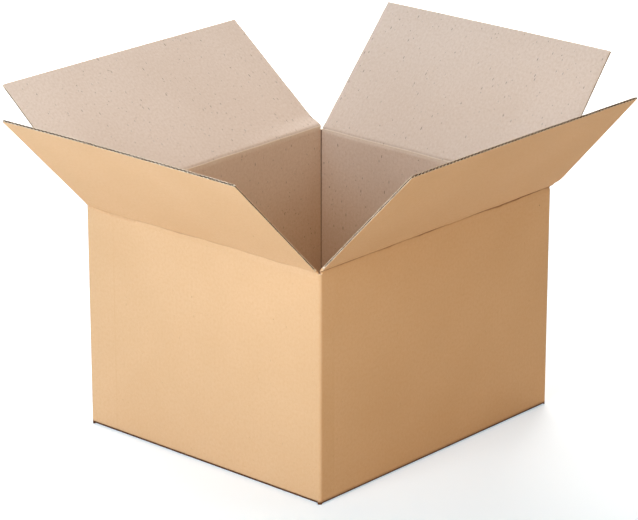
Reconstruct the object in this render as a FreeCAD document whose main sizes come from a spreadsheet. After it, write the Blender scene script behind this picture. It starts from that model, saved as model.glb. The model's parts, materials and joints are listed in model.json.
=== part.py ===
"""An open carton folded from one sheet of corrugated board, with its four top flaps standing open.

The walls, the glue tab and the glued bottom flaps are one solid. Each top flap turns on its crease,
so it is a solid of its own. The origin is at the middle of the base, and the front wall faces -Y.
"""

import FreeCAD, Part
import os
import re
import Sketcher

Vector = FreeCAD.Vector

# driving sizes in millimetres and degrees, with the sizes that fit them as formulas
SIZES = [
    ("box_width", "400", "outside, across the front wall"),
    ("box_length", "450", "outside, from the front wall to the back wall"),
    ("wall_height", "300", "from the floor to the creases of the front and back flaps"),
    ("board", "3", "thickness of the corrugated board"),
    ("liner", "0.35", "thickness of each flat liner"),
    ("medium", "0.3", "thickness of the wavy sheet at its crests"),
    ("medium_run", "0.45", "thickness of the wavy sheet along the board, on its flanks"),
    ("flute_pitch", "6.5", "from one flute to the next"),
    ("flute_crest", "0.7", "narrow side of a flute's channel"),
    ("fold_radius", "4", "outside radius of the four vertical folds"),
    ("fold_inside", "1", "inside radius of the four vertical folds"),
    ("closing_gap", "0.8", "between the free edges of the two side flaps when they are closed"),
    ("stacking_gap", "0.5", "between closed front and back flaps and the side flaps above them"),
    ("hinge_land", "0.3", "from a crease's axis to the board on each side of it"),
    ("slot_gap", "1", "between a closed front or back flap and the side walls"),
    ("slot_side", "2", "how far the side flaps stand in from the corners"),
    ("crush_band", "7", "flattened flutes beside a crease"),
    ("tab_width", "45", "glue tab, along the front wall"),
    ("tab_setback", "9", "glue tab, below the crease and above the bottom flap"),
    ("tab_bevel", "14", "glue tab, how far its ends slant"),
    ("seam_gap", "0.8", "between the two outer bottom flaps"),
    ("seam_offset", "1", "from the middle of the base to that gap's near side"),
    ("bottom_slot", "2", "how far the outer bottom flaps stand in from the front and back walls"),
    ("front_angle", "44.8", "front flap, from upright"),
    ("back_angle", "40.7", "back flap, from upright"),
    ("right_angle", "43.2", "right flap, from upright"),
    ("left_angle", "52", "left flap, from upright"),
    ("crease_step", "=board + stacking_gap", "side creases above the front and back creases"),
    ("side_crease", "=wall_height + crease_step", "height of the side flaps' creases"),
    ("side_depth", "=(box_width - closing_gap) / 2", "side flaps, from crease to free edge"),
    ("end_depth", "=side_depth + crease_step", "front and back flaps, from crease to free edge"),
    ("floor_depth", "=(box_width - seam_gap) / 2 + board", "inner bottom flaps, from their wall"),
    ("end_flap_width", "=box_width - 2 * (board + slot_gap)", "front and back flaps, along the crease"),
    ("side_flap_width", "=box_length - 2 * slot_side", "side flaps, along the crease"),
]


def add_sheet(doc):
    """The table of sizes, each with a name that the sketches and features read."""
    sheet = doc.addObject("Spreadsheet::Sheet", "sizes")
    for row, (name, value, meaning) in enumerate(SIZES, start=1):
        sheet.set(f"A{row}", name)
        sheet.set(f"B{row}", value)
        sheet.setAlias(f"B{row}", name)
        sheet.set(f"C{row}", meaning)
    doc.recompute()
    return sheet


def linked(expression):
    """A formula in the sheet's names, written so that an object outside the sheet can use it."""
    names = {name for name, _, _ in SIZES}
    return re.sub(r"[a-z_]+", lambda word: f"sizes.{word[0]}" if word[0] in names else word[0], expression)


def add_body(doc, name):
    body = doc.addObject("PartDesign::Body", name)
    body.Label = name
    return body


def add_sketch(body, name, plane, lift=None):
    """An empty sketch on one of the body's own planes, moved along its normal by a formula."""
    sketch = body.newObject("Sketcher::SketchObject", name)
    origin_plane = next(item for item in body.Origin.OriginFeatures if item.Role == plane)
    sketch.AttachmentSupport = [(origin_plane, "")]
    sketch.MapMode = "FlatFace"
    if lift:
        sketch.setExpression("AttachmentOffset.Base.z", linked(lift))
    return sketch


def hold_at(sketch, geometry, point, across, up):
    """Hold one point of a sketch at two formulas."""
    for kind, formula in (("DistanceX", across), ("DistanceY", up)):
        value = float(sketch.evalExpression(linked(formula)))
        rule = Sketcher.Constraint(kind, -1, 1, geometry, point, value)
        number = sketch.addConstraint(rule)
        sketch.setExpression(f"Constraints[{number}]", linked(formula))


def draw_outline(sketch, corners):
    """A closed outline of straight lines through corners that are given as pairs of formulas."""
    places = [[float(sketch.evalExpression(linked(part))) for part in corner] for corner in corners]
    first = sketch.GeometryCount
    count = len(corners)
    for index, place in enumerate(places):
        following = places[(index + 1) % count]
        sketch.addGeometry(Part.LineSegment(Vector(*place, 0), Vector(*following, 0)), False)
    for index in range(count):
        follower = first + (index + 1) % count
        sketch.addConstraint(Sketcher.Constraint("Coincident", first + index, 2, follower, 1))
    for index, corner in enumerate(corners):
        hold_at(sketch, first + index, 1, *corner)


def draw_rectangle(sketch, left, bottom, right, top):
    draw_outline(sketch, [(left, bottom), (right, bottom), (right, top), (left, top)])


def raise_pad(body, name, sketch, length, both_ways=False, reverse=False):
    pad = body.newObject("PartDesign::Pad", name)
    pad.Profile = sketch
    pad.SideType = "Symmetric" if both_ways else "One side"
    pad.Reversed = reverse
    pad.setExpression("Length", linked(length))
    return pad


def cut_pocket(body, name, sketch, length, both_ways=False, upward=False):
    """A pocket that runs down from its sketch, up from it, or half to each side."""
    pocket = body.newObject("PartDesign::Pocket", name)
    pocket.Profile = sketch
    pocket.SideType = "Symmetric" if both_ways else "One side"
    pocket.Reversed = upward
    pocket.setExpression("Length", linked(length))
    return pocket


def upright_edges(shape, half_width, half_length):
    """The vertical edges at the four corners of a rectangle, as names."""
    found = []
    for number, edge in enumerate(shape.Edges, start=1):
        start, end = edge.Vertexes[0].Point, edge.Vertexes[-1].Point
        stands = abs(start.x - end.x) < 1e-6 and abs(start.y - end.y) < 1e-6
        at_corner = abs(abs(start.x) - half_width) < 1e-6 and abs(abs(start.y) - half_length) < 1e-6
        if stands and at_corner:
            found.append(f"Edge{number}")
    return found


def round_folds(body, name, base, half_width, half_length, radius):
    """Round the vertical folds, which are the upright edges at the given corners."""
    edges = upright_edges(
        base.Shape,
        float(body.evalExpression(linked(half_width))),
        float(body.evalExpression(linked(half_length))),
    )
    fillet = body.newObject("PartDesign::Fillet", name)
    fillet.Base = (base, edges)
    fillet.setExpression("Radius", linked(radius))
    return fillet


def build_box_body(doc):
    """Walls, rounded vertical folds, glued bottom flaps and glue tab: the sheet below the top creases."""
    body = add_body(doc, "box_body")

    outside = add_sketch(body, "outside_outline", "XY_Plane")
    draw_rectangle(
        outside, "-box_width / 2", "-box_length / 2", "box_width / 2", "box_length / 2"
    )
    block = raise_pad(body, "outer_block", outside, "side_crease - hinge_land")
    doc.recompute()
    round_folds(body, "outer_folds", block, "box_width / 2", "box_length / 2", "fold_radius")

    inside = add_sketch(body, "inside_outline", "XY_Plane", "2 * board")
    draw_rectangle(
        inside,
        "-box_width / 2 + board",
        "-box_length / 2 + board",
        "box_width / 2 - board",
        "box_length / 2 - board",
    )
    hollow = cut_pocket(body, "hollow", inside, "side_crease", upward=True)
    doc.recompute()
    round_folds(
        body, "inner_folds", hollow, "box_width / 2 - board", "box_length / 2 - board", "fold_inside"
    )

    cut_bottom_flaps(body)
    cut_side_wall_tops(body)
    cut_end_wall_tops(body)
    add_glue_tab(body)
    return body


def cut_bottom_flaps(body):
    """The strip that the inner bottom flaps leave open, the outer flaps' seam and their short ends."""
    strip = add_sketch(body, "floor_strip", "XY_Plane", "board")
    draw_rectangle(
        strip,
        "-box_width / 2 + board",
        "-box_length / 2 + floor_depth",
        "box_width / 2 - board",
        "box_length / 2 - floor_depth",
    )
    cut_pocket(body, "floor_opening", strip, "board", upward=True)

    seam = add_sketch(body, "seam_line", "XY_Plane")
    draw_rectangle(
        seam, "seam_offset", "-box_length / 2", "seam_offset + seam_gap", "box_length / 2"
    )
    cut_pocket(body, "bottom_seam", seam, "board", upward=True)

    for name, side in (("front", -1), ("back", 1)):
        end = add_sketch(body, f"{name}_bottom_end", "XY_Plane")
        wall_face = f"{side} * box_length / 2"
        flap_end = f"{side} * ( box_length / 2 - bottom_slot )"
        draw_rectangle(end, "-box_width / 2", wall_face, "box_width / 2", flap_end)
        cut_pocket(body, f"{name}_bottom_slot", end, "board", upward=True)


def cut_side_wall_tops(body):
    """Mitre the tops of the left and right walls, so that their flaps can close."""
    for name, side in (("left", -1), ("right", 1)):
        mitre = add_sketch(body, f"{name}_wall_mitre", "XZ_Plane")
        draw_outline(
            mitre,
            [
                (f"{side} * box_width / 2", "side_crease - hinge_land"),
                (f"{side} * ( box_width / 2 - board )", "side_crease - hinge_land - board"),
                (f"{side} * ( box_width / 2 - 2 * board )", "side_crease - hinge_land - board"),
                (f"{side} * ( box_width / 2 - 2 * board )", "side_crease + board"),
                (f"{side} * box_width / 2", "side_crease + board"),
            ],
        )
        cut_pocket(body, f"{name}_wall_top", mitre, "2 * box_length", both_ways=True)


def cut_end_wall_tops(body):
    """Lower and mitre the tops of the front and back walls, whose flaps close under the others."""
    for name, side in (("front", -1), ("back", 1)):
        mitre = add_sketch(body, f"{name}_wall_mitre", "YZ_Plane")
        draw_outline(
            mitre,
            [
                (f"{side} * ( box_length / 2 + board )", "wall_height - hinge_land"),
                (f"{side} * box_length / 2", "wall_height - hinge_land"),
                (f"{side} * ( box_length / 2 - board )", "wall_height - hinge_land - board"),
                (f"{side} * ( box_length / 2 - board )", "side_crease + board"),
                (f"{side} * ( box_length / 2 + board )", "side_crease + board"),
            ],
        )
        cut_pocket(body, f"{name}_wall_top", mitre, "2 * box_width", both_ways=True)


def add_glue_tab(body):
    """The strip that carries on from the left wall and is glued behind the front wall."""
    tab = add_sketch(body, "tab_outline", "XZ_Plane", "box_length / 2 - board")
    draw_outline(
        tab,
        [
            ("-box_width / 2 + board", "2 * board + tab_setback"),
            ("-box_width / 2 + board + tab_width", "2 * board + tab_setback + tab_bevel"),
            ("-box_width / 2 + board + tab_width", "wall_height - board - tab_setback - tab_bevel"),
            ("-box_width / 2 + board", "wall_height - board - tab_setback"),
        ],
    )
    raise_pad(body, "glue_tab", tab, "board", reverse=True)


def build_flap(doc, name, plane, inward, width, depth, angle, hinge, axis):
    """One top flap, drawn upright over its crease and then turned outward about it.

    plane is the upright plane across the crease, and inward is the sign of the board's thickness in it.
    """
    body = add_body(doc, name)
    section = add_sketch(body, f"{name}_section", plane)
    draw_outline(
        section,
        [
            ("0", "hinge_land"),
            (f"{inward} * board", "hinge_land + board"),
            (f"{inward} * board", depth),
            ("0", depth),
        ],
    )
    raise_pad(body, f"{name}_board", section, width, both_ways=True)
    cut_flutes(body, name, plane, inward, width, depth)
    body.Placement = FreeCAD.Placement(Vector(0, 0, 0), FreeCAD.Rotation(axis, 0))
    for part, formula in zip("xyz", hinge):
        body.setExpression(f"Placement.Base.{part}", linked(formula))
    body.setExpression("Placement.Rotation.Angle", linked(angle))
    return body


def cut_flutes(body, name, plane, inward, width, depth):
    """The channels of the flutes, open at the free edge and ending where the crease flattens them.

    Each pitch has one channel against either liner, with its wide side there, and the wavy sheet between.
    """
    along_x = plane == "YZ_Plane"
    count = f"floor( ( {width} - flute_pitch ) / flute_pitch )"
    start = f"-( {count} - 1 ) / 2 * flute_pitch"
    half_wide = "( flute_pitch - 2 * medium_run - flute_crest ) / 2"
    half_narrow = "flute_crest / 2"
    mouths = add_sketch(body, f"{name}_flute_mouths", "XY_Plane", depth)
    for quarter, at_liner, at_crest in (
        (-0.25, "liner", "board - liner - medium"),
        (0.25, "board - liner", "liner + medium"),
    ):
        middle = f"{start} + {quarter} * flute_pitch"
        corners = [
            (f"{middle} - {half_wide}", f"{inward} * ( {at_liner} )"),
            (f"{middle} + {half_wide}", f"{inward} * ( {at_liner} )"),
            (f"{middle} + {half_narrow}", f"{inward} * ( {at_crest} )"),
            (f"{middle} - {half_narrow}", f"{inward} * ( {at_crest} )"),
        ]
        draw_outline(mouths, corners if along_x else [corner[::-1] for corner in corners])
    channel = cut_pocket(body, f"{name}_flute", mouths, f"{depth} - crush_band")
    pattern = body.newObject("PartDesign::LinearPattern", f"{name}_flutes")
    pattern.Originals = [channel]
    role = "X_Axis" if along_x else "Y_Axis"
    crease_line = next(item for item in body.Origin.OriginFeatures if item.Role == role)
    pattern.Direction = (crease_line, [""])
    pattern.Mode = "Spacing"
    pattern.setExpression("Offset", linked("flute_pitch"))
    pattern.setExpression("Occurrences", linked(count))
    body.Tip = pattern


def build_flaps(doc):
    """The four top flaps, each at the angle at which it stands open."""
    ends = ("end_flap_width", "end_depth")
    sides = ("side_flap_width", "side_depth")
    front_hinge = ("0", "-box_length / 2", "wall_height")
    back_hinge = ("0", "box_length / 2", "wall_height")
    left_hinge = ("-box_width / 2", "0", "side_crease")
    right_hinge = ("box_width / 2", "0", "side_crease")
    return [
        build_flap(doc, "front_flap", "YZ_Plane", 1, *ends, "front_angle", front_hinge, Vector(1, 0, 0)),
        build_flap(doc, "back_flap", "YZ_Plane", -1, *ends, "back_angle", back_hinge, Vector(-1, 0, 0)),
        build_flap(doc, "left_flap", "XZ_Plane", 1, *sides, "left_angle", left_hinge, Vector(0, -1, 0)),
        build_flap(doc, "right_flap", "XZ_Plane", -1, *sides, "right_angle", right_hinge, Vector(0, 1, 0)),
    ]


def check(doc, bodies):
    """Stop if any object failed, or if a sub-part is not one valid solid."""
    for item in doc.Objects:
        if "Invalid" in item.State or "Error" in item.State:
            raise RuntimeError(f"{item.Name} did not recompute: {item.State}")
    for body in bodies:
        shape = body.Shape
        if shape.isNull() or not shape.isValid() or len(shape.Solids) != 1:
            raise RuntimeError(f"{body.Label} is not one valid solid")


def main():
    doc = FreeCAD.newDocument("open_box")
    add_sheet(doc)
    bodies = [build_box_body(doc)] + build_flaps(doc)
    doc.recompute()
    check(doc, bodies)
    os.makedirs("parts", exist_ok=True)
    for body in bodies:
        body.Shape.exportStep(os.path.join("parts", f"{body.Label}.step"))
        print(body.Label, len(body.Shape.Faces), "faces", round(body.Shape.Volume), "mm3")


main()
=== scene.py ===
"""The look of an open carton: folded kraft board with fluted cut edges, on a white studio floor.

The sheet below the top creases is one piece. Each top flap is a board with real flutes and a crease
that bends between the walls and the flap. Sizes are in metres.
"""
import json
import math

import bmesh
import bpy
from mathutils import Matrix, Vector, noise
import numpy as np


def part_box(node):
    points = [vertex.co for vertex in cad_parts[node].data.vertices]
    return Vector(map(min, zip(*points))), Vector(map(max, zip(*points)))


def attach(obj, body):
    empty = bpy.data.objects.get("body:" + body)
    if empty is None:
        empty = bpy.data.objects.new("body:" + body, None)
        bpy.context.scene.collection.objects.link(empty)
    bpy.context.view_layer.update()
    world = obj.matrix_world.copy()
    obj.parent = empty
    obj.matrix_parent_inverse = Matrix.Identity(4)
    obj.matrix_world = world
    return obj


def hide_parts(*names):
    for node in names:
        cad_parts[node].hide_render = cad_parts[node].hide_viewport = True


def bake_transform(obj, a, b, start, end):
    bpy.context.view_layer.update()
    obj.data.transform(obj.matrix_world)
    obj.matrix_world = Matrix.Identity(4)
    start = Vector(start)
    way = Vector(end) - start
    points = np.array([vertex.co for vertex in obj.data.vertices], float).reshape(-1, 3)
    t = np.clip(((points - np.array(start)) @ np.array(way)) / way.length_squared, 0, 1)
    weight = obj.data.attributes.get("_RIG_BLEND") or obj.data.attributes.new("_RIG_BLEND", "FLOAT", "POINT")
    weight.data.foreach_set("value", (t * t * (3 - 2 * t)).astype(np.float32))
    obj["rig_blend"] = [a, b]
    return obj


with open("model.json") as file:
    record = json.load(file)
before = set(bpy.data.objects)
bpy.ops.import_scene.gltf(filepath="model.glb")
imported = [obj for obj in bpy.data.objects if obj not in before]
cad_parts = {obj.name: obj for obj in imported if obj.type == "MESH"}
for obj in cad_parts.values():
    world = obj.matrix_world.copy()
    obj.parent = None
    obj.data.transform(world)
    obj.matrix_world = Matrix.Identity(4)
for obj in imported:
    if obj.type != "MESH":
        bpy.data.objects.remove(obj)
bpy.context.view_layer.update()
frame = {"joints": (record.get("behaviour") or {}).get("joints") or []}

MM = 0.001
UP = Vector((0, 0, 1))

# the board
BOARD = 3.0 * MM
LINER = 0.38 * MM
MEDIUM = 0.4 * MM
FLUTE_PITCH = 6.5 * MM
FLUTE_STEPS = 8
# how far into the flutes the painted highlight on their upper side reaches
MOUTH_HIGHLIGHT_DEPTH = 5.0 * MM
FLAP_ROWS = 36

# the box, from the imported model
WALLS_HIGH = Vector(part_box("box_body")[1])
HALF_WIDTH = WALLS_HIGH.x
HALF_LENGTH = WALLS_HIGH.y
FOLD_RADIUS = 4.0 * MM
FOLD_STEPS = 6
WALL_COLUMNS = 40
WALL_ROWS = 24
BOTTOM_RADIUS = 3.4 * MM
BOTTOM_STEPS = 4
SEAM = (1.0 * MM, 1.8 * MM)
FLOOR_DEPTH = HALF_WIDTH - 0.4 * MM + BOARD
FLOOR_EDGE = 14 * MM

# the creases: the heights of a strip's rows, the shape that the score presses into the board, and the
# score's marks with the painted shade and painted highlights along them
CREASE_ROWS_BELOW = (-7, -5.5, -4.3, -3.3, -2.5, -1.9, -1.4, -1, -0.65, -0.3)
CREASE_ROWS_ABOVE = (0, 0.3, 0.65, 1, 1.4, 1.9, 2.5, 3.2, 4, 5, 6, 7, 8, 9)
CREASE_ROWS = [height * MM for height in CREASE_ROWS_BELOW + CREASE_ROWS_ABOVE]
CREASE_BELOW = -CREASE_ROWS[0]
CREASE_ABOVE = CREASE_ROWS[-1]
SLOT_ROOT = 0.3 * MM
CLOSED_CUT = 5.0 * MM
BEND_REACH = 1.7 * MM
CRUSH = 0.38
CRUSH_SPREAD = 1.9 * MM
BEAD = 0.45 * MM
BEAD_SPREAD = 0.6 * MM
BEAD_STRAIGHT = 0.7
# the pale line along the inner bead is partly wear and partly a painted highlight; beside it lies a line of
# painted shade, and below the crease painted light on the wall's top
BEAD_RUB_AND_HIGHLIGHT = 0.9
BEAD_SHADE = 0.16
BEAD_SHADE_AT = 2.4 * BEAD_SPREAD
WALL_TOP_LIGHT = 0.3
BEND_OUTER = 0.9 * MM
BEND_INNER = 1.6 * MM
SCORE_DEPTH = 0.45 * MM
SCORE_SPREAD = 0.85 * MM
SCORE_WANDER = 2.0 * MM
# how dark each crease's score is at its two ends: the score's own darkening and painted shade
SCORE_AND_SHADE_DARK = {
    "front_flap": (0.45, 0.35),
    "back_flap": (0.6, 0.6),
    "left_flap": (0.6, 0.6),
    "right_flap": (1.1, 1.3),
}
SCORE_TILT = {"front_flap": 2.2 * MM, "back_flap": 0.0, "left_flap": 0.0, "right_flap": -0.8 * MM}
LEDGE = {"front_flap": 0.12, "back_flap": 0.12, "left_flap": 0.30, "right_flap": 0.30}
LEDGE_AT = 4.0 * MM
LEDGE_SPREAD = 2.6 * MM

# the cut edges
SIDE_CRUSH = 0.2
SIDE_SPREAD = 5.0 * MM
BURR = 0.3 * MM
TOP_BURR = 0.05 * MM
BURR_SPREAD = 1.4 * MM
EDGE_STEPS = [step * MM for step in (0, 0.7, 1.4, 3.0, 5.2)]
CUT_WOBBLE = 0.5 * MM
SIDE_SLANT = {"front_flap": 0.0, "back_flap": 4.0 * MM, "left_flap": 4.0 * MM, "right_flap": 4.0 * MM}

# the glue tab
TAB_WIDTH = 45 * MM
TAB_SETBACK = 9 * MM
TAB_BEVEL = 14 * MM

# how far the flat panels lie from true, and how far one end of a side flap sags outwards
WALL_BOW = 0.9 * MM
WALL_WAVE = 0.35 * MM
BOW_FROM = 2.2 * BOTTOM_RADIUS
END_FLAP_BOW = 1.2 * MM
SIDE_FLAP_BOW = 0.6 * MM
FLAP_WAVE = 0.25 * MM
SAG = {"front_flap": 0.0, "back_flap": 0.0, "left_flap": -4.0 * MM, "right_flap": 4.0 * MM}
SAG_RISE = 24 * MM

# the folds between the walls, as they show inside with painted shade in their grooves, and the painted shade
# on the folds at the foot of the box
CORNER_GROOVE = 1.2 * MM
CORNER_LINE_REACH = 1.9 * MM
CORNER_FOOT = (1.8 * MM, 0.3 * MM)
# how high the painted shade at the foot reaches, how strong it is, how it fades, and how high its dark
# finish goes
FOOT_DARK = 5.5 * MM
END_FOOT_DARK = FOOT_DARK / 3
FOOT_SHADE = 0.95
FOOT_FADE = 1.6
FOOT_PAINT = 3.0 * MM

# the heights between which the inside turns browner on its way down: painted shade
LOWER_SHADE_FROM = 0.29
LOWER_SHADE_TO = 0.13

# the fourth finish, the medium's dark brown, also serves as painted shade
OUTER, INNER, CUT, MEDIUM_AND_SHADE = range(4)


def smooth(value):
    """0 to 1 with soft ends."""
    value = min(max(value, 0.0), 1.0)
    return value * value * (3 - 2 * value)


def hump(distance, spread):
    """1 at no distance, falling away on both sides."""
    return math.exp(-((distance / spread) ** 2))


class Wire:
    """A shader value: sums and products of wires add the Math nodes that work them out."""

    def __init__(self, shader, socket):
        self.shader = shader
        self.socket = socket

    def math(self, operation, *others):
        return self.shader.math(operation, self, *others)

    def __add__(self, other):
        return self.math("ADD", other)

    def __sub__(self, other):
        return self.math("SUBTRACT", other)

    def __mul__(self, other):
        return self.math("MULTIPLY", other)

    def __rsub__(self, other):
        return self.shader.math("SUBTRACT", other, self)

    __radd__ = __add__
    __rmul__ = __mul__


class Shader:
    """A node tree that is written as calls and expressions."""

    def __init__(self, tree):
        self.tree = tree
        tree.nodes.clear()

    def add(self, kind, settings=None, inputs=None):
        """A node with its settings set first, and then values or links put into its sockets."""
        node = self.tree.nodes.new(kind)
        for name, value in (settings or {}).items():
            setattr(node, name, value)
        for name, value in (inputs or {}).items():
            self.feed(node.inputs[name], value)
        return node

    def feed(self, socket, value):
        if isinstance(value, Wire):
            self.tree.links.new(value.socket, socket)
        else:
            socket.default_value = value

    def take(self, node, output=0):
        return Wire(self, node.outputs[output])

    def math(self, operation, *values):
        inputs = dict(enumerate(values))
        return self.take(self.add("ShaderNodeMath", {"operation": operation}, inputs))

    def between(self, value, low, high):
        """0 below low, 1 above high and soft between them. With low above high it falls instead."""
        inputs = {"Value": value, "From Min": low, "From Max": high}
        settings = {"interpolation_type": "SMOOTHSTEP", "clamp": True}
        return self.take(self.add("ShaderNodeMapRange", settings, inputs))

    def mix(self, factor, one, other, blend="MIX"):
        """Two colours mixed by a factor."""
        settings = {"data_type": "RGBA", "blend_type": blend, "clamp_factor": True}
        node = self.add("ShaderNodeMix", settings, {0: factor, 6: one, 7: other})
        return self.take(node, 2)

    def stretched(self, vector, scale):
        inputs = {0: vector, 1: scale}
        return self.take(self.add("ShaderNodeVectorMath", {"operation": "MULTIPLY"}, inputs))

    def noise(self, vector, scale, detail=2.0, roughness=0.5):
        inputs = {"Vector": vector, "Scale": scale, "Detail": detail, "Roughness": roughness}
        return self.take(self.add("ShaderNodeTexNoise", {}, inputs))


def colour(red, green, blue):
    """A colour given as it looks on a screen, from 0 to 255, as the linear one that shaders use."""

    def linear(channel):
        value = channel / 255
        return value / 12.92 if value <= 0.04045 else ((value + 0.055) / 1.055) ** 2.4

    return (linear(red), linear(green), linear(blue), 1.0)


# materials


def new_material(name):
    material = bpy.data.materials.new(name)
    material.use_nodes = True
    return material, Shader(material.node_tree)


def finish_surface(shader, base, roughness, height, depth):
    """A matte surface with its colour, its roughness and a bump of that depth from a height."""
    bump = shader.add("ShaderNodeBump", {}, {"Strength": 1.0, "Distance": depth, "Height": height})
    surface = shader.add(
        "ShaderNodeBsdfPrincipled",
        {},
        {
            "Base Color": base,
            "Roughness": roughness,
            "Specular IOR Level": 0.25,
            "Normal": shader.take(bump),
        },
    )
    output = shader.add("ShaderNodeOutputMaterial")
    shader.tree.links.new(surface.outputs["BSDF"], output.inputs["Surface"])


def mark(shader, name):
    """A mark that the mesh carries, such as how far a place is scored: 0 to 1."""
    return shader.take(shader.add("ShaderNodeAttribute", {"attribute_name": name}), "Fac")


def sheet_place(shader):
    """The place on the flat sheet: across the flutes, along them, and nothing."""
    return shader.take(shader.add("ShaderNodeUVMap", {"uv_map": "sheet"}))


def axis_of(shader, place, axis):
    parts = shader.add("ShaderNodeSeparateXYZ", {}, {0: place})
    return shader.take(parts, axis)


def flute_lines(shader, place):
    """The washboard that the flutes press through a liner: 1 over a crest and 0 between two."""
    turn = axis_of(shader, place, 0) * (math.tau / FLUTE_PITCH)
    return turn.math("SINE") * 0.5 + 0.5


def flecks(shader, place, cells, turn, size, share):
    """Scattered flecks in the paper, where cells across and along set how long each one is."""
    settings = {0: place, "Rotation": (0, 0, turn), "Scale": (cells[0], cells[1], 1)}
    field = shader.take(shader.add("ShaderNodeMapping", {}, settings))
    node = shader.add("ShaderNodeTexVoronoi", {}, {"Vector": field, "Scale": 1.0})
    parts = shader.add("ShaderNodeSeparateColor", {}, {0: shader.take(node, "Color")})
    chance, girth = shader.take(parts, 0), shader.take(parts, 1)
    reach = shader.take(node, "Distance").math("DIVIDE", girth * (0.7 * size) + 0.7 * size)
    return shader.between(reach, 1.0, 0.55) * chance.math("LESS_THAN", share)


def liner_material(name, tone, strengths, step_at=None):
    """A paper liner: cloudy tone, fine fibres, flecks, a faint washboard and marks from the scoring, with
    painted shade and painted highlights among those marks, painted shade lower down inside, and painted
    shade along the glue tab's step.
    """
    material, shader = new_material(name)
    place = sheet_place(shader)
    clouds = shader.noise(place, 7, 3, 0.5)
    mottle = shader.noise(place, 260, 4, 0.65)
    grain = shader.noise(shader.stretched(place, (1.0, 0.22, 1.0)), 900, 3, 0.6)
    lines = flute_lines(shader, place)

    base = shader.mix(shader.between(clouds, 0.3, 0.7), tone["low"], tone["high"])
    base = shader.mix(shader.between(mottle, 0.4, 0.66) * strengths["mottle"], base, tone["warm"])
    base = shader.mix(shader.between(grain, 0.45, 0.75) * strengths["grain"], base, tone["pale"])
    base = shader.mix(lines * strengths["washboard"], base, tone["warm"])

    for cells, turn, size, share, depth in strengths["flecks"]:
        spots = flecks(shader, place, cells, turn, size, share)
        base = shader.mix(spots * depth, base, tone["fleck"])
    for cells, turn, size, share, depth in strengths["pale_flecks"]:
        spots = flecks(shader, place, cells, turn, size, share)
        base = shader.mix(spots * depth, base, tone["pale"])

    body = shader.take(shader.add("ShaderNodeTexCoord"), "Object")
    x, y, z = (axis_of(shader, body, axis) for axis in range(3))
    # painted shade: the inside is painted browner lower down
    if "lower_shade" in tone:
        base = shader.mix(shader.between(z, LOWER_SHADE_FROM, LOWER_SHADE_TO), base, tone["lower_shade"], "MULTIPLY")

    # the wear mark is partly the bead's wear and partly painted highlight and painted light; the score mark
    # is partly the score's own darkening and partly painted shade
    rubbed_and_lit = mark(shader, "rub_and_light") * (0.75 + 0.25 * mottle)
    scored_and_shaded = mark(shader, "score") * (0.7 + 0.3 * mottle)
    base = shader.mix(rubbed_and_lit, base, tone["rubbed_and_lit"])
    base = shader.mix(scored_and_shaded, base, tone["scored_and_shaded"])

    height = lines * strengths["washboard"] * 4 + mottle * 0.3 + grain * 0.25
    if step_at:
        front = shader.between(y, -HALF_LENGTH + 2 * MM, -HALF_LENGTH + 1 * MM)
        front = front * shader.between(z, TAB_SETBACK, 2 * TAB_SETBACK)
        front = front * shader.between(z, WALLS_HIGH.z - TAB_SETBACK, WALLS_HIGH.z - 2 * TAB_SETBACK)
        step = shader.between(x, step_at + 0.8 * MM, step_at - 0.8 * MM)
        # a darker line along the tab's edge: painted shade of its step
        line = shader.between((x - step_at).math("ABSOLUTE"), 1.0 * MM, 0.2 * MM)
        height = height + step * front * 1.6
        base = shader.mix(line * front * 0.3, base, tone["warm"])
    roughness = 0.84 - grain * 0.12
    finish_surface(shader, base, roughness, height, 0.12 * MM)
    return material


# the pale wear tone also serves as painted highlight and painted light, and the dark score tone as painted
# shade
KRAFT_TONE = {
    "low": colour(215, 174, 130),
    "high": colour(219, 179, 136),
    "warm": colour(209, 162, 116),
    "pale": colour(226, 192, 153),
    "fleck": colour(136, 96, 60),
    "rubbed_and_lit": colour(226, 197, 160),
    "scored_and_shaded": colour(122, 66, 30),
}
KRAFT_LOOK = {
    "mottle": 0.35,
    "grain": 0.25,
    "washboard": 0.05,
    "flecks": [
        ((45, 45), 0.2, 0.04, 0.16, 0.6),
        ((160, 150), 0.9, 0.09, 0.16, 0.3),
        ((150, 40), 1.2, 0.07, 0.12, 0.25),
    ],
    "pale_flecks": [((70, 70), 0.5, 0.05, 0.08, 0.6)],
}
# the pale wear tone also serves as painted highlight and painted light, and the dark score tone as painted
# shade
INSIDE_TONE = {
    "low": colour(209, 186, 167),
    "high": colour(214, 192, 174),
    "warm": colour(198, 171, 147),
    "pale": colour(226, 211, 198),
    "fleck": colour(84, 60, 44),
    "rubbed_and_lit": colour(226, 207, 184),
    "scored_and_shaded": colour(92, 46, 24),
    # this tone multiplies the inside's colour lower down: painted shade
    "lower_shade": colour(253, 244, 229),
}
INSIDE_LOOK = {
    "mottle": 0.5,
    "grain": 0.4,
    "washboard": 0.09,
    "flecks": [
        ((110, 75), 0.4, 0.10, 0.34, 0.5),
        ((210, 130), 1.1, 0.15, 0.28, 0.45),
        ((160, 40), 0.3, 0.10, 0.28, 0.65),
        ((150, 42), 1.5, 0.10, 0.28, 0.65),
        ((170, 50), 2.4, 0.10, 0.26, 0.6),
    ],
    "pale_flecks": [((75, 60), 0.7, 0.05, 0.10, 0.6)],
}


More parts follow.
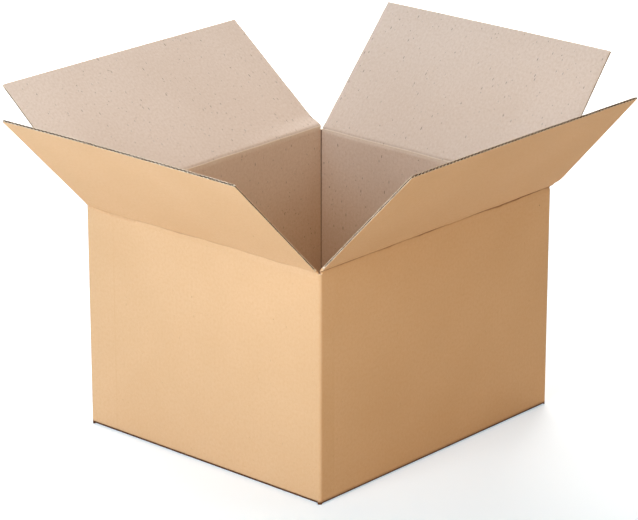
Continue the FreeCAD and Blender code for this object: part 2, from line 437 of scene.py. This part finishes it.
def cut_edge_and_highlight():
    """The cut edge of the liners: pale torn fibre with darker nicks. The flutes' mouths also take it as a
    painted highlight.
    """
    material, shader = new_material("cut_edge_and_highlight")
    place = shader.take(shader.add("ShaderNodeTexCoord"), "Object")
    fray = shader.noise(place, 700, 3, 0.7)
    nicks = shader.noise(place, 150, 2, 0.6)
    base = shader.mix(shader.between(fray, 0.35, 0.7), colour(218, 192, 160), colour(242, 224, 200))
    base = shader.mix(shader.between(nicks, 0.58, 0.68) * 0.6, base, colour(168, 128, 92))
    finish_surface(shader, base, 0.9, fray, 0.15 * MM)
    return material


def medium_and_painted_shade():
    """The wavy sheet inside the board: rougher and browner than the liners, painted darker as the shade
    inside the flutes, and also used as painted shade at the box's foot.
    """
    material, shader = new_material("medium_and_painted_shade")
    place = shader.take(shader.add("ShaderNodeTexCoord"), "Object")
    mottle = shader.noise(place, 320, 4, 0.65)
    base = shader.mix(shader.between(mottle, 0.3, 0.7), colour(76, 44, 26), colour(104, 66, 40))
    finish_surface(shader, base, 0.92, mottle, 0.1 * MM)
    return material


TAB_EDGE = -HALF_WIDTH + BOARD + TAB_WIDTH
WALL_FINISH = liner_material("kraft_walls", KRAFT_TONE, KRAFT_LOOK, TAB_EDGE)
FLAP_FINISH = liner_material("kraft_flaps", KRAFT_TONE, KRAFT_LOOK)
OTHER_FINISHES = [liner_material("liner_inside", INSIDE_TONE, INSIDE_LOOK), cut_edge_and_highlight(), medium_and_painted_shade()]


# meshes


def move_all(shape, place):
    """Move every point of a mesh to where place puts it."""
    for point in shape.verts:
        point.co = place(point.co)


def even(low, high, count):
    """Evenly spaced places from low to high."""
    return [low + (high - low) * index / count for index in range(count + 1)]


def new_shape():
    """An empty mesh with the map and the marks that the liners' materials read."""
    shape = bmesh.new()
    shape.loops.layers.uv.new("sheet")
    for name in ("score", "rub_and_light"):
        shape.verts.layers.float.new(name)
    return shape


def flat_strip(columns, rows, level=0.0, thickness=BOARD, wave=0.0):
    """A closed flat strip: x across the flutes, y along them, z into the board from its outer face."""
    across, along = len(columns) - 1, len(rows) - 1
    shape = new_shape()
    bmesh.ops.create_grid(shape, x_segments=across, y_segments=along, size=0.5)
    for point in shape.verts:
        x = columns[round((point.co.x + 0.5) * across)]
        y = rows[round((point.co.y + 0.5) * along)]
        point.co = Vector((x, y, level + wave * math.cos(math.tau * x / FLUTE_PITCH)))
    bmesh.ops.solidify(shape, geom=shape.faces[:], thickness=thickness)
    lowest = min(point.co.z for point in shape.verts)
    move_all(shape, lambda place: place + Vector((0, 0, level - wave - lowest)))
    bmesh.ops.recalc_face_normals(shape, faces=shape.faces[:])
    return shape


def paint_strip(shape, hidden=None):
    """Give a flat strip's faces their materials. A hidden side, or all of it, takes the medium's brown,
    which is also painted shade inside the flutes.
    """
    for face in shape.faces:
        face.normal_update()
        face.smooth = True
        lie = face.normal.z
        inside = hidden == "all" and abs(face.normal.y) < 0.6
        if inside or (hidden == "high" and lie > 0.6) or (hidden == "low" and lie < -0.6):
            face.material_index = MEDIUM_AND_SHADE
        elif abs(lie) > 0.6:
            face.material_index = OUTER if lie < 0 else INNER
        else:
            face.material_index = CUT


def paint_mouth_highlights(wavy, high):
    """Give the flutes' upper side near the free edge the pale cut-edge finish: a painted highlight where the
    light reaches in.
    """
    for face in wavy.faces:
        if face.normal.z > 0.5 and face.calc_center_median().y > high - MOUTH_HIGHLIGHT_DEPTH:
            face.material_index = CUT


def mark_sheet(shape, offset):
    """Write each corner's place on the flat sheet into the map that the materials read."""
    layer = shape.loops.layers.uv["sheet"]
    for face in shape.faces:
        for loop in face.loops:
            loop[layer].uv = (loop.vert.co.x + offset[0], loop.vert.co.y + offset[1])


def edge_columns(width):
    """Places across a board, closer together towards its two cut sides."""
    half = width / 2
    left = [-half + step for step in EDGE_STEPS]
    right = [half - step for step in reversed(EDGE_STEPS)]
    return left[:-1] + even(left[-1], right[0], round(width / FLUTE_PITCH)) + right[1:]


def board_strips(width, low, high, along, offset):
    """A length of corrugated board, flat: outer liner, wavy medium and inner liner."""
    columns = edge_columns(width)
    rows = even(low, high - EDGE_STEPS[2], along) + [high - EDGE_STEPS[1], high]
    flute_columns = even(-width / 2, width / 2, round(width / FLUTE_PITCH * FLUTE_STEPS))
    flute_rows = even(low, high - MOUTH_HIGHLIGHT_DEPTH, max(along // 3, 1)) + [high]
    swing = (BOARD - 2 * LINER - MEDIUM) / 2
    outer = flat_strip(columns, rows, 0.0, LINER)
    inner = flat_strip(columns, rows, BOARD - LINER, LINER)
    wavy = flat_strip(flute_columns, flute_rows, LINER + swing, MEDIUM, swing)
    paint_strip(outer, "high")
    paint_strip(inner, "low")
    paint_strip(wavy, "all")
    # a painted highlight on the flutes' upper side near the free edge
    paint_mouth_highlights(wavy, high)
    for strip in (outer, inner, wavy):
        mark_sheet(strip, offset)
    for strip, turned in ((outer, 1), (inner, -1), (wavy, 0)):
        move_all(strip, lambda flat: worn_edge(flat, width / 2, high, turned, offset[0]))
    return [outer, wavy, inner]


def side_crush(flat, half, seed):
    """How far the board is crushed beside its side cuts: 0 where it is whole."""
    wobble = 1 + 0.6 * noise.noise(Vector((math.copysign(5, flat.x), flat.y * 70, seed)))
    return SIDE_CRUSH * wobble * smooth(1 - (half - abs(flat.x)) / SIDE_SPREAD)


def worn_edge(flat, half, high, turned, seed):
    """Crush a board beside its cuts, turn the liners' edges in and let the cuts wander a little."""
    side, top = half - abs(flat.x), high - flat.y
    nearest = min(side, top)
    depth = TOP_BURR if top < side else BURR
    burr = depth * smooth(1 - nearest / BURR_SPREAD)
    hides = (turned > 0 and flat.z > LINER / 2) or (turned < 0 and flat.z < BOARD - LINER / 2)
    ragged = noise.noise(Vector((math.copysign(3, flat.x), flat.y * 45, seed + turned)))
    inset = CUT_WOBBLE * abs(ragged) * smooth(1 - side / SIDE_SPREAD)
    nick = 0.4 * CUT_WOBBLE * abs(noise.noise(Vector((flat.x * 45, 7.0, seed + turned))))
    nick *= smooth(1 - top / SIDE_SPREAD)
    z = flat.z * (1 - side_crush(flat, half, seed)) + (burr * turned if hides else 0.0)
    return Vector((flat.x - math.copysign(inset, flat.x), flat.y - nick, z))


def make_piece(name, shapes, outside, sharp=math.radians(35)):
    """One object from several meshes, with every finish of the board."""
    mesh = bpy.data.meshes.new(name)
    joined = new_shape()
    for shape in shapes:
        part = bpy.data.meshes.new("part")
        shape.to_mesh(part)
        shape.free()
        joined.from_mesh(part)
        bpy.data.meshes.remove(part)
    joined.to_mesh(mesh)
    joined.free()
    mesh.set_sharp_from_angle(angle=sharp)
    for material in [outside] + OTHER_FINISHES:
        mesh.materials.append(material)
    piece = bpy.data.objects.new(name, mesh)
    bpy.context.collection.objects.link(piece)
    return piece


class Crease:
    """A top flap's crease: where it lies, which way the flap opens, and how far it stands open."""

    def __init__(self, joint, flap):
        self.hinge = Vector(joint["pos_m"])
        self.axis = Vector(joint["axis"]).normalized()
        self.out = self.axis.cross(UP)
        self.open = math.radians(-joint["range_deg"][0] - 90)
        self.flap = flap
        self.is_end = abs(self.out.y) > 0.5
        low, high = (Vector(corner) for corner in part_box(flap))
        self.width = (high - low).dot(Vector([abs(part) for part in self.axis]))
        rise = high.z - self.hinge.z - BOARD * math.sin(self.open)
        self.depth = rise / math.cos(self.open)
        self.seed = 10 * self.hinge.x + 20 * self.hinge.y

    def fold(self, flat, share):
        """Where a point of the flat sheet goes when the sheet is folded by a share of the opening."""
        upright = self.axis * flat.x - self.out * flat.z + UP * flat.y
        return self.hinge + Matrix.Rotation(self.open * share, 3, self.axis) @ upright

    def wander(self, along, depth):
        """How far the score strays from its straight line: less on the inner face."""
        slow = noise.noise(Vector((along * 22, self.seed, 0.3)))
        quick = noise.noise(Vector((along * 90, self.seed, 4.7)))
        tilt = SCORE_TILT[self.flap] * 2 * along / self.width
        return (tilt + SCORE_WANDER * (slow + 0.35 * quick)) * (1 - BEAD_STRAIGHT * depth / BOARD)

    def darkness(self, along):
        """How dark the score is, partly its own darkening and partly painted shade, from one end of the
        crease to the other, with bare stretches.
        """
        first, last = SCORE_AND_SHADE_DARK[self.flap]
        share = smooth(0.5 + along / self.width)
        drift = 0.5 + 1.3 * noise.noise(Vector((along * 13, self.seed, 8.1)))
        return (first + (last - first) * share) * (0.15 + 0.85 * smooth(drift))

    def slant(self, flat):
        """The point drawn in, as the flap's sides run in a little towards its free edge."""
        inset = SIDE_SLANT[self.flap] * max(flat.y - CREASE_ABOVE, 0.0) / (self.depth - CREASE_ABOVE)
        return Vector((flat.x * (1 - 2 * inset / self.width), flat.y, flat.z))

    def warp(self, flat):
        """How far the flap's board lies from flat, towards its inner face."""
        reach = smooth((flat.y - CREASE_ABOVE) / self.depth)
        side = 2 * flat.x / self.width
        wave = noise.noise(Vector((flat.x * 9, flat.y * 9, self.seed)))
        bow = END_FLAP_BOW if self.is_end else SIDE_FLAP_BOW
        return reach * (bow * (1 - side * side) + FLAP_WAVE * (wave + 0.4)) - self.sag(flat)

    def sag(self, flat):
        """How far one end of the flap stands out just beyond its crease."""
        sag = SAG[self.flap]
        towards = math.copysign(2 * flat.x / self.width, flat.x * sag)
        rise = smooth(flat.y / SAG_RISE) * (1 - flat.y / self.depth)
        return abs(sag) * smooth((towards - 0.3) / 0.7) * rise


def crease_marks(crease, shape):
    """Mark where the score has darkened the outer liner, partly as painted shade, and where the inner liner
    is worn pale along the bead, partly as a painted highlight, with painted shade beside the bead and
    painted light on the wall's top below it.
    """
    score, rub_and_light = (shape.verts.layers.float[name] for name in ("score", "rub_and_light"))
    for point in shape.verts:
        x, height, depth = point.co
        middle = height - crease.wander(x, depth)
        if depth < BOARD / 2:
            point[score] = crease.darkness(x) * hump(middle, SCORE_SPREAD)
        else:
            # below the crease, painted light on the wall's top; beside the bead, a line of painted shade
            below = WALL_TOP_LIGHT * smooth(1 + height / CREASE_BELOW) if middle < 0 else 0.0
            point[rub_and_light] = max(BEAD_RUB_AND_HIGHLIGHT * hump(middle, BEAD_SPREAD), below)
            point[score] = BEAD_SHADE * hump(middle - BEAD_SHADE_AT, BEAD_SPREAD)


def crease_place(crease, flat):
    """Fold one point of the crease's strip, crushed at the score and bulging just above it."""
    x, height, depth = flat
    middle = height - crease.wander(x, depth) * smooth((1 - abs(height) / CREASE_BELOW) * 2)
    crushed = depth * (1 - CRUSH * hump(middle, CRUSH_SPREAD))
    crushed += BEAD * hump(middle, BEAD_SPREAD) * (depth / BOARD)
    crushed *= 1 - side_crush(flat, crease.width / 2, crease.seed) * smooth(height / CREASE_ABOVE)
    score = SCORE_DEPTH * hump(middle, SCORE_SPREAD) * (1 - depth / BOARD)
    if height < 0:
        panel = (HALF_WIDTH if crease.is_end else HALF_LENGTH) - FOLD_RADIUS
        narrow = min(2 * panel / crease.width, 1.0)
        x *= 1 + (narrow - 1) * smooth(-height / (2 * MM))
    spread = BEND_OUTER + (depth / BOARD) * BEND_INNER
    share = smooth((middle + spread) / (2 * spread))
    ledge = LEDGE[crease.flap] * hump(middle - LEDGE_AT, LEDGE_SPREAD) * smooth(middle / (2 * MM))
    share += ledge * (1 - depth / BOARD)
    return crease.fold(Vector((x, height, crushed + score - crease.sag(flat))), share)


def build_crease(crease, name):
    """The crushed band of board that bends between a wall and its flap."""
    columns = even(-crease.width / 2, crease.width / 2, round(crease.width / (2.5 * MM)))
    strip = flat_strip(columns, CREASE_ROWS)
    paint_strip(strip)
    # the slot's cut is pressed shut beside the score, so no torn fibre shows there
    for face in strip.faces:
        if face.material_index == CUT and face.calc_center_median().y < CLOSED_CUT:
            face.material_index = OUTER
    mark_sheet(strip, (crease.seed, crease.hinge.z))
    crease_marks(crease, strip)
    move_all(strip, lambda flat: crease_place(crease, flat))
    piece = make_piece(name, [strip], FLAP_FINISH, math.radians(60))
    start = crease.hinge - UP * BEND_REACH
    end = crease.fold(Vector((0, BEND_REACH, 0)), 1)
    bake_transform(piece, "walls", crease.flap, start=start, end=end)
    return piece


def build_flap(crease, name):
    """A top flap's board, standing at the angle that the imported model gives."""
    place = (crease.seed, crease.hinge.z)
    strips = board_strips(crease.width, CREASE_ABOVE, crease.depth, FLAP_ROWS, place)
    for strip in strips:
        move_all(strip, crease.slant)
        move_all(strip, lambda flat: crease.fold(flat + Vector((0, 0, crease.warp(flat))), 1))
    piece = make_piece(name, strips, FLAP_FINISH)
    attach(piece, crease.flap)
    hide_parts(crease.flap)
    return piece


def boundary_between(shape, level, axis, side, reach):
    """The open edges at one height on one straight wall."""
    found = []
    for edge in shape.edges:
        ends = [point.co for point in edge.verts]
        if not edge.is_boundary or any(abs(end.z - level) > 1e-5 for end in ends):
            continue
        if all(end[axis] * side > reach[axis] - 1e-5 for end in ends):
            if all(abs(end[1 - axis]) < reach[1 - axis] - FOLD_RADIUS + 1e-5 for end in ends):
                found.append(edge)
    return found


def raise_ring(shape, edges, height):
    """Pull a ring of edges straight up and give back the new ring."""
    made = bmesh.ops.extrude_edge_only(shape, edges=edges)["geom"]
    points = [item for item in made if isinstance(item, bmesh.types.BMVert)]
    bmesh.ops.translate(shape, verts=points, vec=Vector((0, 0, height)))
    return [item for item in made if isinstance(item, bmesh.types.BMEdge)]


def fold_bottom(shape, level, axis, side, length):
    """Fold one bottom flap in under the walls: a quarter turn and then a flat run."""
    reach = (HALF_WIDTH, HALF_LENGTH)
    edges = boundary_between(shape, level, axis, side, reach)
    points = list({point for edge in edges for point in edge.verts})
    outward = Vector((side, 0, 0)) if axis == 0 else Vector((0, side, 0))
    centre = outward * (reach[axis] - BOTTOM_RADIUS) + UP * level
    turn = UP.cross(outward)
    made = bmesh.ops.spin(
        shape,
        geom=edges + points,
        cent=centre,
        axis=turn,
        dvec=(0, 0, 0),
        angle=math.pi / 2,
        steps=BOTTOM_STEPS,
        use_duplicate=False,
    )["geom_last"]
    edges = [item for item in made if isinstance(item, bmesh.types.BMEdge)]
    run = bmesh.ops.extrude_edge_only(shape, edges=edges)["geom"]
    points = [item for item in run if isinstance(item, bmesh.types.BMVert)]
    bmesh.ops.translate(shape, verts=points, vec=-outward * (length - BOTTOM_RADIUS))
    return points


def folded_walls(side_top, end_top, corner_top):
    """The walls and bottom flaps as one folded sheet, before it has its thickness."""
    shape = new_shape()
    bmesh.ops.create_grid(shape, x_segments=1, y_segments=1, size=0.5)
    bmesh.ops.scale(shape, vec=(2 * HALF_WIDTH, 2 * HALF_LENGTH, 1), verts=shape.verts[:])
    bmesh.ops.bevel(
        shape,
        geom=shape.verts[:],
        offset=FOLD_RADIUS,
        offset_type="OFFSET",
        segments=FOLD_STEPS,
        profile=0.5,
        affect="VERTICES",
        material=-1,
    )
    bmesh.ops.delete(shape, geom=shape.faces[:], context="FACES_ONLY")
    straight = [edge for edge in shape.edges if edge.calc_length() > 0.1]
    bmesh.ops.subdivide_edges(shape, edges=straight, cuts=WALL_COLUMNS - 1)
    draw_to_folds(shape)

    end_fold, side_fold = BOARD + BOTTOM_RADIUS, BOTTOM_RADIUS
    bmesh.ops.translate(shape, verts=shape.verts[:], vec=(0, 0, side_fold))
    levels = even(end_fold, end_top, WALL_ROWS) + [side_top, corner_top]
    ring, height = shape.edges[:], side_fold
    for level in levels:
        ring = raise_ring(shape, ring, level - height)
        height = level

    cut = [face for face in shape.faces if is_panel(face, 1, end_top, 1.0)]
    cut += [face for face in shape.faces if is_panel(face, 0, side_top, 1.0)]
    cut += [face for face in shape.faces if is_panel(face, 1, 0.0, end_fold)]
    bmesh.ops.delete(shape, geom=cut, context="FACES")
    foot = [edge for edge in shape.edges if is_corner_foot(edge, side_fold)]
    foot = raise_ring(shape, foot, CORNER_FOOT[0] - side_fold)
    raise_ring(shape, foot, CORNER_FOOT[1] - CORNER_FOOT[0])

    for side in (-1, 1):
        fold_bottom(shape, end_fold, 1, side, FLOOR_DEPTH - FLOOR_EDGE)
    for side, edge in zip((-1, 1), SEAM):
        for point in fold_bottom(shape, side_fold, 0, side, HALF_WIDTH):
            point.co.x = edge
    bmesh.ops.remove_doubles(shape, verts=shape.verts[:], dist=0.01 * MM)
    return shape


def is_corner_foot(edge, level):
    """Whether an edge is part of an upright fold's open lower end."""
    for point in edge.verts:
        x, y, z = point.co
        if abs(z - level) > 1e-5:
            return False
        if abs(x) < HALF_WIDTH - FOLD_RADIUS - 1e-5 or abs(y) < HALF_LENGTH - FOLD_RADIUS - 1e-5:
            return False
    return True


def is_panel(face, axis, low, high):
    """Whether a face lies between two heights on one of the two flat walls that face along an axis."""
    middle = face.calc_center_median()
    reach = (HALF_WIDTH, HALF_LENGTH)
    on_wall = abs(middle[axis]) > reach[axis] - 0.1 * MM
    between_folds = abs(middle[1 - axis]) < reach[1 - axis] - FOLD_RADIUS
    return on_wall and between_folds and low < middle.z < high


def draw_to_folds(shape):
    """Draw the points next to each fold close to it, so that the dark line painted in its groove stays
    narrow.
    """
    for axis, reach in enumerate((HALF_WIDTH, HALF_LENGTH)):
        fold = reach - FOLD_RADIUS
        step = 2 * fold / WALL_COLUMNS
        for point in shape.verts:
            away = fold - abs(point.co[axis])
            if 0.1 * MM < away < step + 0.1 * MM:
                point.co[axis] = math.copysign(fold - CORNER_LINE_REACH, point.co[axis])


def bow_walls(shape):
    """Bow each wall a little and lay slow waves over it, with its folds and ends left straight."""
    for point in shape.verts:
        x, y, z = point.co
        if z < BOW_FROM:
            continue
        rise = math.sin(math.pi * min(z / WALLS_HIGH.z, 1.0))
        wave = WALL_WAVE * noise.noise(Vector((x * 8, y * 8, z * 8)))
        if abs(x) > HALF_WIDTH - 0.01 * MM:
            span = math.cos(math.pi * y / (2 * HALF_LENGTH))
            point.co.x += math.copysign(rise * span * (wave - WALL_BOW), x)
        elif abs(y) > HALF_LENGTH - 0.01 * MM:
            span = math.cos(math.pi * x / (2 * HALF_WIDTH))
            point.co.y += math.copysign(rise * span * (wave - WALL_BOW), y)


def groove_folds(shape):
    """Press the groove into each upright fold's inside, and give it the score mark: the score's darkening
    together with painted shade in the groove.
    """
    score = shape.verts.layers.float["score"]
    for point in shape.verts:
        x, y, z = point.co
        out = Vector((abs(x) - HALF_WIDTH + FOLD_RADIUS, abs(y) - HALF_LENGTH + FOLD_RADIUS, 0))
        inside = out.x < FOLD_RADIUS - BOARD / 2 and out.y < FOLD_RADIUS - BOARD / 2
        if z < 2 * BOARD or not inside or min(out.x, out.y) < -2 * CORNER_LINE_REACH:
            continue
        if min(out.x, out.y) < -0.05 * MM:
            point[score] = 0.0
            continue
        if out.length < 0.1 * MM or out.length > FOLD_RADIUS - BOARD / 2:
            continue
        middle = math.sin(2 * math.atan2(out.y, out.x)) ** 2
        push = out.normalized() * CORNER_GROOVE * middle * (0.7 + 0.3 * z / WALLS_HIGH.z)
        point.co += Vector((math.copysign(push.x, x), math.copysign(push.y, y), 0))
        point[score] = (0.5 + 0.45 * middle) * (0.6 + 0.4 * z / WALLS_HIGH.z)


def paint_foot_shade(shape):
    """Give the folds at the foot of the box the score mark: painted shade where the board turns in under it.
    """
    score = shape.verts.layers.float["score"]
    for point in shape.verts:
        x, y, z = point.co
        from_side, from_end = HALF_WIDTH - abs(x), HALF_LENGTH - abs(y)
        on_end = from_side > FOLD_RADIUS - 0.01 * MM and from_end < 0.95 * BOARD
        on_side = from_end > FOLD_RADIUS - 0.01 * MM and from_side < 0.95 * BOARD
        at_corner = from_side < FOLD_RADIUS and from_end < FOLD_RADIUS
        above, dark = (z - BOARD, END_FOOT_DARK) if on_end else (z, FOOT_DARK)
        if (on_end or on_side or at_corner) and 0.05 * MM < above < dark:
            point[score] = FOOT_SHADE * smooth(FOOT_FADE * (1 - above / dark))


def paint_walls(shape):
    """Give the walls' faces their materials and their places on the flat sheet."""
    layer = shape.loops.layers.uv["sheet"]
    for face in shape.faces:
        face.normal_update()
        face.smooth = True
        middle, normal = face.calc_center_median(), face.normal
        nearest = min(HALF_WIDTH - abs(middle.x), HALF_LENGTH - abs(middle.y))
        # the flap ends under the end walls and the folds at the foot take the medium's dark brown: painted
        # shade
        if middle.z < 2 * BOARD and abs(normal.z) < 0.7 and nearest > FOLD_RADIUS - 0.1 * MM:
            flip, offset = False, (0.0, 0.0)
            face.material_index = MEDIUM_AND_SHADE
        elif middle.z < FOOT_PAINT and normal.z > -0.9 and nearest < BOARD:
            flip, offset = False, (0.0, 0.0)
            face.material_index = MEDIUM_AND_SHADE
        elif abs(normal.z) > 0.7:
            flip = middle.z < BOARD * 1.2
            is_rim = middle.z > WALLS_HIGH.z / 2
            face.material_index = CUT if is_rim else (OUTER if normal.z < 0 else INNER)
            offset = (0.0, 0.0)
        else:
            flip = abs(normal.x) > abs(normal.y)
            outward = normal.x * middle.x + normal.y * middle.y > 0
            face.material_index = OUTER if outward and nearest < BOARD / 3 else INNER
            offset = (math.copysign(7.0 if flip else 3.0, middle.x + middle.y), 0.0)
        for loop in face.loops:
            x, y, z = loop.vert.co
            if abs(normal.z) > 0.7:
                loop[layer].uv = (y, x) if flip else (x, y)
            else:
                loop[layer].uv = ((y if flip else x) + offset[0], z)


def glue_tab():
    """The tab that is glued behind the front wall, with its slanted ends."""
    low = 2 * BOARD + TAB_SETBACK
    high = creases["front_flap"].hinge.z - BOARD - TAB_SETBACK
    left = -HALF_WIDTH + BOARD
    shape = flat_strip(even(left, left + TAB_WIDTH, 6), even(low, high, 12))
    middle = (low + high) / 2

    def slanted(flat):
        slant = 1 - 2 * TAB_BEVEL / (high - low) * (flat.x - left) / TAB_WIDTH
        return Vector((flat.x, middle + (flat.y - middle) * slant, flat.z))

    move_all(shape, slanted)
    paint_strip(shape)
    mark_sheet(shape, (3.3, 0))
    wall = -HALF_LENGTH + BOARD
    move_all(shape, lambda flat: Vector((flat.x, wall + flat.z, flat.y)))
    bmesh.ops.recalc_face_normals(shape, faces=shape.faces[:])
    return shape


def floor_edges():
    """The fluted free edges of the two inner bottom flaps."""
    shapes = []
    width = 2 * (HALF_WIDTH - FOLD_RADIUS)
    for side in (-1, 1):
        strips = board_strips(width, FLOOR_DEPTH - FLOOR_EDGE, FLOOR_DEPTH, 1, (side, 0.5))
        for strip in strips:
            move_all(
                strip,
                lambda flat: Vector((flat.x, side * (HALF_LENGTH - flat.y), BOARD + flat.z)),
            )
            bmesh.ops.recalc_face_normals(strip, faces=strip.faces[:])
        shapes += strips
    return shapes


def build_walls():
    end_top = creases["front_flap"].hinge.z - CREASE_BELOW
    side_top = creases["left_flap"].hinge.z - CREASE_BELOW
    corner_top = creases["front_flap"].hinge.z - SLOT_ROOT
    shape = folded_walls(side_top, end_top, corner_top)
    bow_walls(shape)
    bmesh.ops.recalc_face_normals(shape, faces=shape.faces[:])
    bmesh.ops.solidify(shape, geom=shape.faces[:], thickness=BOARD)
    groove_folds(shape)
    paint_foot_shade(shape)
    bmesh.ops.recalc_face_normals(shape, faces=shape.faces[:])
    paint_walls(shape)
    parts = [shape, glue_tab()] + floor_edges()
    piece = make_piece("box_walls", parts, WALL_FINISH, math.radians(50))
    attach(piece, "walls")
    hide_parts("box_body")
    return piece


creases = {joint["child"]: Crease(joint, joint["child"]) for joint in frame["joints"]}
build_walls()
for flap_name, flap_crease in creases.items():
    build_flap(flap_crease, f"{flap_name}_board")
    build_crease(flap_crease, f"{flap_name}_crease")


# floor, light and camera

CAMERA_TARGET = Vector((0, 0, 0.15))
CAMERA_AZIMUTH = math.radians(41.755)
CAMERA_ELEVATION = math.radians(20.137)
CAMERA_DISTANCE = 4.063
VIEW_AZIMUTH = math.radians(41.786)
VIEW_ELEVATION = math.radians(19.290)
FOCAL_PIXELS = 3122.0
IMAGE_WIDTH = 638
SENSOR = 36.0

# the floor's paper, what the camera sees it give off near the box and far away, and the surround's light
FLOOR_TONE = (0.86, 0.80, 0.72, 1)
FLOOR_GLOW = (0.22, 0.33, 0.42, 1)
GLOW_NEAR = 0.8
GLOW_FAR = 1.8
WHITE = (1, 1, 1, 1)
SKY_LIGHT = 0.0
FLOOR_SIZE = 30

# each lamp's name, azimuth, elevation, distance, size, power and tint
LAMPS = [
    ("front_near", 10, 25, 2.0, 1.0, 24.5, (0.84, 1.0, 1.16)),
    ("front_low", 0, 8, 3.0, 1.2, 10, (0.88, 1.06, 1.4)),
    ("right_near", 58, 30, 2.0, 0.8, 7.8, (1.3, 1.0, 0.62)),
    ("back_right", 130, 45, 3.4, 1.8, 13, (1.1, 1.0, 0.88)),
    ("back", 180, 25, 3.4, 1.8, 12, (1.05, 1.0, 0.95)),
    ("back_left", -145, 45, 3.4, 1.8, 80, (0.95, 1.0, 1.07)),
    ("top_left", -90, 60, 3.0, 1.8, 45, (0.87, 1.0, 1.16)),
]


def direction(azimuth, elevation):
    """From the object towards something at this azimuth and elevation."""
    level = math.cos(elevation)
    return Vector((math.sin(azimuth) * level, -math.cos(azimuth) * level, math.sin(elevation)))


def add_camera():
    data = bpy.data.cameras.new("photo_camera")
    data.sensor_width = SENSOR
    data.lens = FOCAL_PIXELS / IMAGE_WIDTH * SENSOR
    camera = bpy.data.objects.new("photo_camera", data)
    camera.location = CAMERA_TARGET + direction(CAMERA_AZIMUTH, CAMERA_ELEVATION) * CAMERA_DISTANCE
    camera.rotation_euler = (math.pi / 2 - VIEW_ELEVATION, 0, VIEW_AZIMUTH)
    bpy.context.collection.objects.link(camera)
    bpy.context.scene.camera = camera


def add_lamp(name, azimuth, elevation, distance, size, power, tint):
    """A soft square lamp that faces the box."""
    data = bpy.data.lights.new(name, "AREA")
    data.size = size
    data.energy = power
    data.color = tint
    lamp = bpy.data.objects.new(name, data)
    towards = direction(math.radians(azimuth), math.radians(elevation))
    lamp.location = CAMERA_TARGET + towards * distance
    lamp.rotation_euler = towards.to_track_quat("Z", "Y").to_euler()
    bpy.context.collection.objects.link(lamp)


def seen_ray(shader):
    """1 for what the camera sees, directly, in a gloss or through glass, and 0 for light on the box."""
    path = shader.add("ShaderNodeLightPath")
    seen = shader.take(path, "Is Camera Ray") + shader.take(path, "Is Glossy Ray")
    return (seen + shader.take(path, "Is Transmission Ray")).math("MINIMUM", 1.0)


def add_floor():
    """A white floor that shows as white to the camera and still takes the box's shadow."""
    shape = bmesh.new()
    bmesh.ops.create_grid(shape, x_segments=1, y_segments=1, size=FLOOR_SIZE)
    mesh = bpy.data.meshes.new("studio_floor")
    shape.to_mesh(mesh)
    shape.free()
    material, shader = new_material("studio_floor")
    paper = shader.add("ShaderNodeBsdfDiffuse", {}, {"Color": FLOOR_TONE})
    place = shader.take(shader.add("ShaderNodeTexCoord"), "Object")
    x, y = (axis_of(shader, place, axis) for axis in range(2))
    away = shader.between(x * x + y * y, GLOW_NEAR**2, GLOW_FAR**2)
    glow = shader.add("ShaderNodeEmission", {}, {"Color": shader.mix(away, FLOOR_GLOW, WHITE)})
    dark = shader.add("ShaderNodeEmission", {}, {"Strength": 0.0})
    lift = shader.add("ShaderNodeMixShader", {}, {0: seen_ray(shader)})
    both = shader.add("ShaderNodeAddShader")
    output = shader.add("ShaderNodeOutputMaterial")
    join = shader.tree.links.new
    join(dark.outputs[0], lift.inputs[1])
    join(glow.outputs[0], lift.inputs[2])
    join(paper.outputs[0], both.inputs[0])
    join(lift.outputs[0], both.inputs[1])
    join(both.outputs[0], output.inputs["Surface"])
    mesh.materials.append(material)
    floor = bpy.data.objects.new("studio_floor", mesh)
    bpy.context.collection.objects.link(floor)


def add_sky():
    """An even white surround: dimmer as light than it is to the camera."""
    world = bpy.data.worlds.new("studio")
    world.use_nodes = True
    bpy.context.scene.world = world
    shader = Shader(world.node_tree)
    strength = seen_ray(shader) * (1.0 - SKY_LIGHT) + SKY_LIGHT
    sky = shader.add("ShaderNodeBackground", {}, {"Color": (1, 1, 1, 1), "Strength": strength})
    output = shader.add("ShaderNodeOutputWorld")
    shader.tree.links.new(sky.outputs[0], output.inputs["Surface"])


add_camera()
add_floor()
add_sky()
for lamp_values in LAMPS:
    add_lamp(*lamp_values)
bpy.context.scene.view_settings.view_transform = "Standard"
